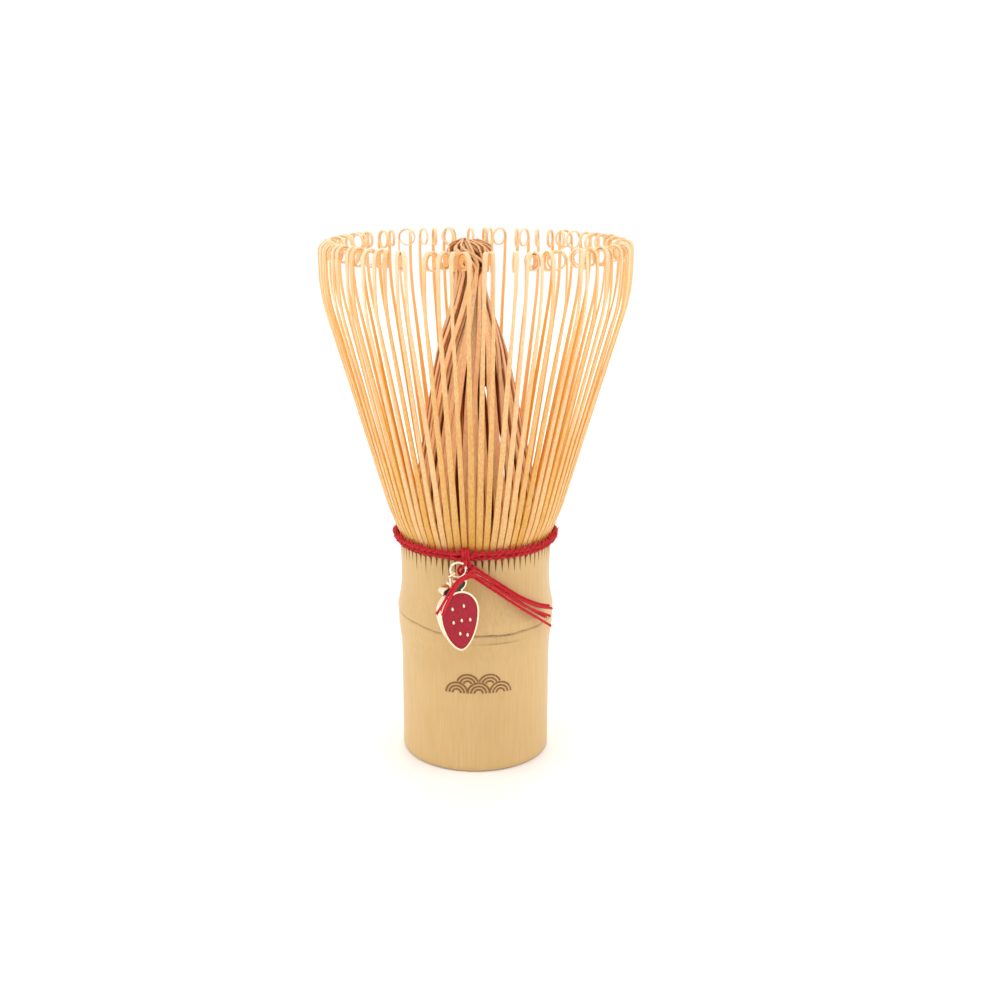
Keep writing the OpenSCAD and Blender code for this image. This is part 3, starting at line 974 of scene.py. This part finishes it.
@dataclass
class OuterTines:
    """The 72 outer tines: flat strips that flare out from the thread and curl inwards at the rim."""

    finish: bpy.types.Material
    groups: int = 12
    per_group: int = 6
    rim_r: float = 28.3
    flare_deg: float = 16.0
    arc_r: float = 33.0
    arc_z: float = 86.0
    curl_r: float = 1.75
    total_h: float = 100.0
    widths_mm: tuple = ((43.0, 1.08), (50.0, 1.1), (60.0, 1.0), (75.0, 0.8), (88.0, 0.58), (96.0, 0.58))
    root_mm: tuple = ((14.1, 43.35), (14.6, 45.0), (15.3, 46.6), (16.1, 48.6), (17.2, 51.7))
    curl_steps: int = 34

    def side_view(self, curl_r: float, turns_deg: float, tighten: float) -> np.ndarray:
        """Middle of one tine seen from its side.

        Args:
            curl_r: Radius of the curl where it starts, in millimetres.
            turns_deg: How far the tip curls round.
            tighten: Share by which the curl's radius shrinks over a full turn.

        Returns:
            Radius and height of the points, in millimetres.
        """
        flare = math.radians(self.flare_deg)
        arc_start = self.rim_r - self.arc_r * (1 - math.cos(flare))
        stem = through([*self.root_mm, (22.0, 86.0 - (arc_start - 22.0) / math.tan(flare)),
                        (arc_start, self.arc_z)], 3)
        turns = np.linspace(flare, 0, 6)[1:]
        arc = [(arc_start + self.arc_r * (math.cos(a) - math.cos(flare)),
                self.arc_z + self.arc_r * (math.sin(flare) - math.sin(a))) for a in turns]
        curl_z = self.total_h + 0.1 - curl_r
        curl = []
        for a in np.radians(np.linspace(0, turns_deg, self.curl_steps)):
            now = curl_r * (1 - tighten * a / (2 * math.pi))
            curl.append((self.rim_r - curl_r + now * math.cos(a), curl_z + now * math.sin(a)))
        return np.concatenate([stem, arc, curl])

    def tine(self, turn_deg: float, rng: random.Random) -> Run:
        """One tine's run, with the small differences of hand work.

        Args:
            turn_deg: Where the tine stands around the culm.
            rng: Source of the differences.

        Returns:
            The run.
        """
        tight = 0.5 - 0.5 * math.sin(math.radians(turn_deg))
        curl_r = self.curl_r * rng.uniform(0.9, 1.07)
        turns_deg = rng.uniform(345, 420) + tight * rng.uniform(180, 330)
        side = self.side_view(curl_r, turns_deg, 0.08 + (0.12 + 0.12 * rng.random()) * tight)
        slope = unit(np.gradient(side, axis=0))
        rise = np.clip((side[:, 1] - 46) / 54, 0, 1)
        radial = side[:, 0] + rng.gauss(0, 0.28) * rise**2
        drift = rng.gauss(0, 0.3) * rise**2 + rng.gauss(0, 0.1) * np.sin(rise * math.pi * 2)
        twist = rng.gauss(0, 16) if rng.random() < 0.68 else rng.choice((-1, 1)) * rng.uniform(30, 65)
        turn = math.radians(turn_deg)
        out = np.array((math.cos(turn), math.sin(turn), 0))
        along = np.array((-math.sin(turn), math.cos(turn), 0))
        ease = np.clip((side[:, 1] - 80) / 15, 0, 1)
        ease = ease**2 * (3 - 2 * ease)
        past_rim = np.arange(len(side)) >= len(side) - self.curl_steps
        ease[past_rim] = 1
        angle = np.radians(twist) * ease
        swung = out[None, :] * np.cos(angle)[:, None] + along[None, :] * np.sin(angle)[:, None]
        inward = np.where(past_rim, side[:, 0] - self.rim_r, 0)
        stem_r = np.where(past_rim, radial - inward, radial)
        points = (out[None, :] * stem_r[:, None] + swung * inward[:, None] + along[None, :] * drift[:, None])
        points[:, 2] = side[:, 1]
        facing = swung * slope[:, 1:2] + np.array((0, 0, 1.0))[None, :] * -slope[:, 0:1]
        place = np.linspace(0, 1, len(side))
        width = np.interp(side[:, 1], *zip(*self.widths_mm))
        width = width * rng.uniform(0.9, 1.08)
        width[past_rim] *= np.linspace(1, rng.uniform(0.75, 1.0), self.curl_steps) * (0.85 + 0.45 * tight)
        depth = np.interp(place, (0, 0.5, 1), (0.46, 0.32, 0.19))
        paler = np.interp(side[:, 1], (43, 60, 80, 95, 100), (0.15, 0.3, 0.5, 0.75, 0.95))
        paler[past_rim] = np.maximum(paler[past_rim], 0.85)
        tone = np.clip(paler + rng.uniform(-0.22, 0.22), 0, 1)
        return Run(points * MM, facing, width * MM, depth * MM, tone)

    def build(self) -> None:
        """Makes one piece for each group that flexes on its own."""
        rng = random.Random(72)
        blank = whittle(sides=4, spans=60, chamfer=0.1)
        pitch = 360 / (self.groups * self.per_group)
        for group in range(1, self.groups + 1):
            middle = FRONT_DEG + (group - 1) * 360 / self.groups
            turns = [middle + (i - (self.per_group - 1) / 2) * pitch for i in range(self.per_group)]
            piece = lay(f"curled_tines_{group:02d}", blank, [self.tine(t, rng) for t in turns], self.finish)
            dress(piece, f"tine_group_{group:02d}", (f"outer_tines_{group:02d}",))


@dataclass
class InnerCone:
    """The 60 inner tines: they lean in to a cone, twist together at its neck and fold over into a knot."""

    finish: bpy.types.Material
    # finish of the heart, a painted shade
    painted_shade_core: bpy.types.Material
    count: int = 60
    groups: int = 6
    lean_left: float = 1.15
    cone_mm: tuple = ((43.0, 12.0), (47.0, 11.9), (54.8, 11.2), (59.2, 10.4), (64.7, 9.3), (71.1, 8.2),
                      (75.3, 7.4),
                      (80.9, 6.2), (84.5, 4.9), (89.3, 3.3), (92.9, 2.7), (94.6, 2.6))
    knot_r: float = 4.5
    knot_z: float = 97.15
    knot_h: float = 2.75

    def lean(self, height: np.ndarray) -> np.ndarray:
        """How far the cone's middle has leant to the left at a height."""
        return -self.lean_left * np.clip((height - 50) / 45, 0, 1) ** 1.3

    def strand(self, number: int, rng: random.Random) -> Run:
        """One inner tine, from the culm up the cone and over into the knot.

        Args:
            number: Its place around the cone.
            rng: Source of the small differences.

        Returns:
            The run.
        """
        layer = number % 3
        known_z, known_r = zip(*self.cone_mm)
        cone_z = np.linspace(43.0, 94.8, 32)
        rise = (cone_z - 43) / 51.8
        tuck = (layer * 0.62 * np.clip((rise - 0.25) / 0.6, 0, 1)
                + rng.uniform(0, 0.3) * np.sin(rise * math.pi))
        cone_r = np.interp(cone_z, known_z, known_r) - tuck
        start = 360 / self.count * number
        wander = rng.gauss(0, 2.4) * np.sin(rise * math.pi) + rng.gauss(0, 1.6) * np.sin(rise * math.pi * 2)
        cone_turn = start + wander + (54 + rng.gauss(0, 9)) * rise**4.5 + rng.gauss(0, 7) * rise**3
        bend = np.radians(np.linspace(-58, 86, 26))
        over = (bend - bend[0]) / (bend[-1] - bend[0])
        bulge = self.knot_r + 0.12 - 0.5 * layer + rng.uniform(-0.45, 0.3)
        knot_r = 1.2 + (bulge - 1.2) * np.cos(bend)
        knot_z = self.knot_z + (self.knot_h - 0.32 * layer + rng.uniform(-0.3, 0.2)) * np.sin(bend)
        knot_z = knot_z + rng.gauss(0, 0.22) * np.sin(over * math.pi)
        knot_turn = (cone_turn[-1] - (88 + rng.gauss(0, 20)) * over**1.1
                     + rng.gauss(0, 7) * np.sin(over * math.pi * 2))
        radius, height = np.concatenate([cone_r, knot_r]), np.concatenate([cone_z, knot_z])
        turn = np.radians(np.concatenate([cone_turn, knot_turn]))
        points = np.stack([radius * np.cos(turn) + self.lean(height), radius * np.sin(turn), height], 1)
        points = through(evenly(points, 21), 3)
        points = evenly(points, 61)
        axis = np.stack([self.lean(points[:, 2]), np.zeros(61), points[:, 2]], 1)
        knot_share = np.clip((points[:, 2] - 94.0) / 1.5, 0, 1)[:, None]
        core = axis * (1 - knot_share) + np.array((-self.lean_left, 0, self.knot_z - 0.6)) * knot_share
        facing = points - core
        width = np.interp(
            points[:, 2], (43, 70, 86, 92, 95, 97, 100), (1.04, 1.02, 0.9, 0.78, 0.54, 0.48, 0.42))
        width = width * rng.uniform(0.86, 1.12)
        depth = np.interp(points[:, 2], (43, 90, 95, 100), (0.5, 0.42, 0.36, 0.34))
        return Run(points * MM, facing, width * MM, depth * MM, rng.random())

    def build_heart(self) -> bpy.types.Object:
        """The inside of the knot and neck, behind the strands, coloured dark red-brown as painted shade seen
        through the gaps.
        """
        outline = np.array([(0.2, 72.0), (2.6, 73.0), (2.6, 82.0), (1.3, 88.0), (0.9, 94.0), (1.9, 95.4),
                            (2.8, 96.6),
                            (2.75, 97.6), (2.2, 98.4), (1.2, 98.8), (0.2, 98.9)])
        outline = through(outline, 3)
        blank = whittle(sides=24, spans=len(outline) - 1)
        row = np.rint(blank.points[:, 2] * (len(outline) - 1)).astype(int)
        radius, height = outline[row].T
        turn = np.arctan2(blank.points[:, 1], blank.points[:, 0])
        points = np.stack([radius * np.cos(turn) + self.lean(height), radius * np.sin(turn), height], 1)
        mesh = bpy.data.meshes.new("cone_heart")
        mesh.from_pydata((points * MM).tolist(), [], blank.faces)
        heart = bpy.data.objects.new("cone_heart", mesh)
        bpy.context.scene.collection.objects.link(heart)
        for name, value in (("face", 1.0), ("tone", 0.4), ("scar", 0.0)):
            set_attribute(heart, name, np.full(len(points), value))
        return settle(heart, self.painted_shade_core, 60.0)

    def build(self) -> None:
        """Makes one piece for each group of strands, and the heart."""
        rng = random.Random(60)
        blank = whittle(sides=4, spans=60, chamfer=0.16)
        each = self.count // self.groups
        strands = [self.strand(number, rng) for number in range(self.count)]
        for group in range(self.groups):
            own = strands[group * each : (group + 1) * each]
            piece = lay(f"inner_strands_{group + 1}", blank, own, self.finish)
            dress(piece, Body.WHISK.value, (f"inner_tines_{group + 1}",))
        dress(self.build_heart(), Body.WHISK.value, ("inner_knot",))


# ---- thread binding ----


@dataclass
class Binding:
    """The red thread: two rows twined around the tines, one row inside them, and the front knot."""

    thread: bpy.types.Material
    tines: int = 72
    lower: tuple[float, float] = (15.2, 43.6)
    upper: tuple[float, float] = (15.55, 44.42)
    inner: tuple[float, float] = (13.6, 44.3)
    twine_swing: float = 0.2
    twine_d: float = 0.58
    hanger_mm: tuple[float, float, float] = (-2.11, -18.5, 43.39)

    def twined_row(self, row: tuple[float, float], phase_deg: float, rng: random.Random) -> list[Run]:
        """Two threads that cross once at every tine.

        Args:
            row: The row's radius and height, in millimetres.
            phase_deg: Where the first crossing is.
            rng: Source of the small differences.

        Returns:
            The two threads' runs.
        """
        steps = self.tines * 8
        runs = []
        wobble = [(rng.uniform(0, 360), rng.uniform(0.03, 0.07), n) for n in (3, 7, 17, 29)]
        turns = np.linspace(0, 360, steps + 1)
        waver = sum(size * np.sin(np.radians(turns * n + start)) for start, size, n in wobble)
        for side in (0, 180):
            cross = np.radians(turns * self.tines / 2 + side + phase_deg)
            radius = row[0] + self.twine_swing * np.cos(cross)
            height = row[1] + self.twine_swing * 0.9 * np.sin(cross) + waver
            points = np.stack(
                [radius * np.cos(np.radians(turns)), radius * np.sin(np.radians(turns)), height], 1)
            radius_share = 1 + 0.006 * np.sin(np.radians(turns * 23 + side)) * (1, 0)[side > 90]
            points[:, :2] *= radius_share[:, None]
            runs += ply_runs(points * MM, self.twine_d * MM, 1.3 * MM, 3, rng, frayed=False)
        return runs

    def gap_loops(self, rng: random.Random) -> list[Run]:
        """Short pulls of thread that stand up and hang down between neighbouring tines."""
        runs = []
        for gap in range(self.tines):
            turn = gap * 360 / self.tines + rng.gauss(0, 0.4)
            up, down = rng.uniform(0.5, 1.15), rng.uniform(0.25, 0.75)
            for start, tip in (((15.3, 44.5), (15.2 + 0.25 * up, 44.8 + up)),
                               ((15.0, 43.4), (14.55, 43.1 - down))):
                ends = [around(*start[:1], turn, start[1]), around(tip[0], turn + rng.gauss(0, 0.3), tip[1])]
                points = np.linspace(ends[0], ends[1], 5)
                taper = np.array((0.72, 0.6, 0.46, 0.3, 0.12)) * rng.uniform(0.8, 1.1)
                runs.append(Run(points * MM, points * (1, 1, 0), taper * MM, taper * MM, 0.5))
        return runs

    def fuzz(self, rng: random.Random, count: int = 700) -> list[Run]:
        """Loose fibres that stand off the rows."""
        runs = []
        for _ in range(count):
            turn = rng.uniform(0, 360)
            share = rng.random()
            radius = self.lower[0] + share * (self.upper[0] - self.lower[0]) + 0.42
            start = around(radius, turn, 43.3 + 2.0 * share)
            length = rng.uniform(0.25, 0.75)
            way = unit(around(1.0, turn + rng.uniform(-70, 70), rng.uniform(-1.2, 1.4)))
            droop = np.array((0, 0, -0.15))
            points = np.array([start, start + way * length * 0.5, start + way * length + droop * length])
            thin = np.array((0.07, 0.055, 0.03))
            facing = np.cross(way, (0.3, 0.2, 0.9))[None, :].repeat(3, 0)
            runs.append(Run(points * MM, facing, thin * MM, thin * MM, 0.5))
        return runs

    def cord(self, route: Sequence[Sequence[float]], rng: random.Random, diameter: float = 0.55) -> list[Run]:
        """The plies of one short thread of the knot, along a route in millimetres."""
        smooth = evenly(through(route, 10), 49) * MM
        return ply_runs(smooth, diameter * MM, 1.5 * MM, 3, rng, frayed=False)

    def coil(self, middle: Sequence[float], normal: Sequence[float], radius: float, start_deg: float,
             turns_deg: float = 340.0) -> np.ndarray:
        """Points of one round wrap of thread about a direction, in millimetres."""
        way = unit(np.array(normal, float))
        first = unit(np.cross(way, (0.0, 0.0, 1.0)))
        second = np.cross(way, first)
        at = np.radians(np.linspace(start_deg, start_deg + turns_deg, 13))
        rise = np.linspace(-0.2, 0.2, 13)
        return (np.array(middle) + radius * (np.cos(at)[:, None] * first + np.sin(at)[:, None] * second)
                + rise[:, None] * way)

    def build_knot(self, rng: random.Random) -> bpy.types.Object:
        """The front knot: a thread down over the rows, wraps about the ends, and two small loops."""
        runs: list[Run] = []
        over = ((-1.35, -15.0, 45.3), (-1.4, -15.9, 45.15), (-1.35, -16.45, 44.5), (-1.25, -16.6, 43.6),
                (-1.1, -17.0, 42.8), (-0.9, -17.3, 42.0), (-0.7, -17.3, 41.2))
        for shift in (0.0, -0.45, -0.9):
            runs += self.cord([(x + shift, y + 0.1 * shift, z) for x, y, z in over], rng, 0.6)
        tail_way = (0.72, 0.3, -0.62)
        for middle, radius in (((-1.35, -17.0, 42.7), 0.72), ((-0.95, -17.1, 42.1), 0.8),
                               ((-0.6, -17.2, 41.5), 0.66),
                               ((-1.7, -17.0, 42.2), 0.6)):
            runs += self.cord(self.coil(middle, tail_way, radius, rng.uniform(0, 360)), rng)
        runs += self.cord(((-1.0, -17.2, 42.4), (-1.8, -17.5, 42.5), (-2.4, -17.5, 42.0), (-2.5, -17.4, 41.3),
                           (-2.1, -17.3, 40.9), (-1.4, -17.3, 41.1)), rng)
        runs += self.cord(((-0.9, -17.1, 41.9), (-1.5, -17.4, 41.9), (-2.0, -17.4, 41.6), (-2.1, -17.3, 41.1),
                           (-1.7, -17.2, 40.8), (-0.9, -17.2, 41.0)), rng)
        for start, end, low, high in ((-108, -93, 44.3, 44.9), (-107, -94, 43.9, 43.2),
                                      (-104, -90, 43.4, 44.2),
                                      (-102, -91, 44.8, 43.6)):
            turns = np.linspace(start, end, 7)
            bow = 15.7 + 0.45 * np.sin(np.linspace(0, math.pi, 7))
            heights = np.linspace(low, high, 7)
            runs += self.cord([around(r, t, z) for r, t, z in zip(bow, turns, heights)], rng, 0.6)
        blank = whittle(sides=6, spans=48)
        return lay("front_knot", blank, runs, self.thread, 80.0)

    def build_hanger(self, rng: random.Random) -> bpy.types.Object:
        """The small loop of thread that the ring hangs in."""
        points = self.coil(self.hanger_mm, (-1.0, 0.0, 1.0), 0.7, 90.0, 362.0)
        blank = whittle(sides=6, spans=48)
        return lay("hanger_thread", blank, self.cord(points, rng, 0.46), self.thread, 80.0)

    def build(self) -> None:
        """Makes the rows, what stands off them, the knot and the hanger loop."""
        rng = random.Random(5)
        rows = self.twined_row(self.lower, 0.0, rng) + self.twined_row(self.upper, 90.0, rng)
        blank = whittle(sides=5, spans=24, steps=24)
        dress(lay("twined_rows", blank, rows, self.thread, 80.0), Body.WHISK.value,
              ("thread_row_lower", "thread_row_upper"))
        inside = self.twined_row(self.inner, 45.0, rng)
        dress(lay("inner_row", blank, inside, self.thread, 80.0), Body.WHISK.value,
              ("thread_row_inner",))
        pulls = lay("gap_pulls", whittle(sides=6, spans=5), self.gap_loops(rng), self.thread, 80.0)
        dress(pulls, Body.WHISK.value)
        loose = lay("loose_fibres", whittle(sides=3, spans=2), self.fuzz(rng), self.thread, 80.0)
        dress(loose, Body.WHISK.value)
        dress(self.build_knot(rng), Body.WHISK.value, ("thread_knot",))
        dress(self.build_hanger(rng), Body.WHISK.value, ("hanger_loop",))


# ---- ring and charm ----


@dataclass
class Charm:
    """The strawberry charm on its jump ring: a cast plate with enamel between its walls, and raised seeds."""

    gold: bpy.types.Material
    wire: bpy.types.Material
    red: bpy.types.Material
    green: bpy.types.Material
    ring_at: tuple[float, float, float] = (-3.1, -18.5, 42.4)
    ring_r: float = 1.4
    wire_d: float = 0.5
    gap_deg: float = 3.0
    gap_at_deg: float = 150.0
    eyelet_at: tuple[float, float, float] = (-4.247, -18.5, 41.597)
    yaw_deg: float = 26.0
    lean_deg: float = 4.5
    plate_t: float = 1.9
    seeds_mm: tuple = ((-0.9, -6.35), (1.4, -6.25), (-0.9, -9.0), (0.75, -8.95), (2.45, -9.2), (0.25, -11.45),
                       (1.7, -12.05))

    def softened(self, node: str, name: str, edge_mm: float, finish: bpy.types.Material) -> bpy.types.Object:
        """A copy of a CAD part with its points merged and its edges rounded.

        Args:
            node: The CAD node's name.
            name: The piece's name.
            edge_mm: How far back each edge is rounded.
            finish: The piece's material.

        Returns:
            The piece.
        """
        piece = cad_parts[node].copy()
        piece.data = piece.data.copy()
        piece.name = name
        piece.parent = None
        for key in list(piece.keys()):
            del piece[key]
        bpy.context.scene.collection.objects.link(piece)
        choose(piece)
        bpy.ops.object.mode_set(mode="EDIT")
        bpy.ops.mesh.select_all(action="SELECT")
        bpy.ops.mesh.remove_doubles(threshold=0.002 * MM)
        bpy.ops.mesh.dissolve_limited(angle_limit=math.radians(0.5))
        bpy.ops.object.mode_set(mode="OBJECT")
        bevel = piece.modifiers.new("soft_edges", "BEVEL")
        bevel.width = edge_mm * MM
        bevel.segments = 2
        bevel.limit_method = "ANGLE"
        bevel.angle_limit = math.radians(45)
        bevel.use_clamp_overlap = True
        bpy.ops.object.modifier_apply(modifier=bevel.name)
        piece.data.materials.clear()
        piece.data.materials.append(finish)
        bpy.ops.object.shade_smooth_by_angle(angle=math.radians(38))
        return piece

    def on_plate(self, across: float, height: float, forward: float) -> np.ndarray:
        """A place on the charm, from its own across, height and forward, all in millimetres."""
        yaw, lean = math.radians(self.yaw_deg), math.radians(-self.lean_deg)
        x = across * math.cos(lean) + height * math.sin(lean)
        z = -across * math.sin(lean) + height * math.cos(lean)
        y = -forward
        turned = np.array((x * math.cos(yaw) - y * math.sin(yaw), x * math.sin(yaw) + y * math.cos(yaw), z))
        return np.array(self.eyelet_at) + turned

    def build_seeds(self) -> bpy.types.Object:
        """Seven raised seeds, each a small drop that stands on its post."""
        runs = []
        bulge = np.array((0.1, 0.55, 0.8, 0.86, 0.78, 0.52, 0.08))
        front = self.on_plate(0, 0, 1) - self.on_plate(0, 0, 0)
        for across, height in self.seeds_mm:
            ups = np.linspace(-0.42, 0.42, 7)
            forward = self.plate_t / 2 - 0.02
            points = np.array([self.on_plate(across - 0.2 * up, height + up, forward) for up in ups])
            runs.append(Run(points * MM, np.tile(front, (7, 1)), bulge * 0.66 * MM, bulge * 0.44 * MM))
        return lay("raised_seeds", whittle(sides=10, spans=6), runs, self.gold, 80.0)

    def build_ring(self) -> bpy.types.Object:
        """The jump ring: a round of wire with its ends pressed together."""
        half_gap = self.gap_deg / 2
        turns = np.radians(np.linspace(self.gap_at_deg + half_gap, self.gap_at_deg + 360 - half_gap, 65))
        spokes = np.stack([np.cos(turns), np.zeros(65), np.sin(turns)], 1)
        points = np.array(self.ring_at) + self.ring_r * spokes
        thick = np.full(65, self.wire_d * MM)
        run = Run(points * MM, spokes, thick, thick)
        return lay("split_ring", whittle(sides=16, spans=64), [run], self.wire, 60.0)

    def build(self) -> None:
        """Makes the ring, the plate, the two enamels and the seeds."""
        dress(self.build_ring(), Body.RING.value, ("jump_ring",))
        plate = self.softened("charm_plate", "cast_plate", 0.09, self.gold)
        dress(plate, Body.CHARM.value, ("charm_plate",))
        berry = self.softened("berry_enamel", "berry_fill", 0.06, self.red)
        dress(berry, Body.CHARM.value, ("berry_enamel",))
        crown = self.softened("leaf_enamel", "crown_fill", 0.06, self.green)
        dress(crown, Body.CHARM.value, ("leaf_enamel",))
        dress(self.build_seeds(), Body.CHARM.value)


def write_sizes() -> None:
    """Brings the scene's transforms up to date."""
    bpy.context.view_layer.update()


def main() -> None:
    """Builds the set, the loose threads, and then the whisk from its handle to its charm."""
    logging.basicConfig(level=logging.INFO, format="%(name)s: %(message)s")
    studio = Studio()
    studio.place_camera()
    finishes = Finishes()
    TieThreads(finishes.thread).build()
    Culm(finishes.skin, finishes.etching).build()
    OuterTines(finishes.tine).build()
    InnerCone(finishes.strand, finishes.painted_shade_core).build()
    Binding(finishes.twine).build()
    Charm(finishes.rim_gold, finishes.ring_gold, finishes.red, finishes.green).build()
    studio.lay_floor()
    studio.light_up()
    write_sizes()


if __name__ == "__main__":
    main()
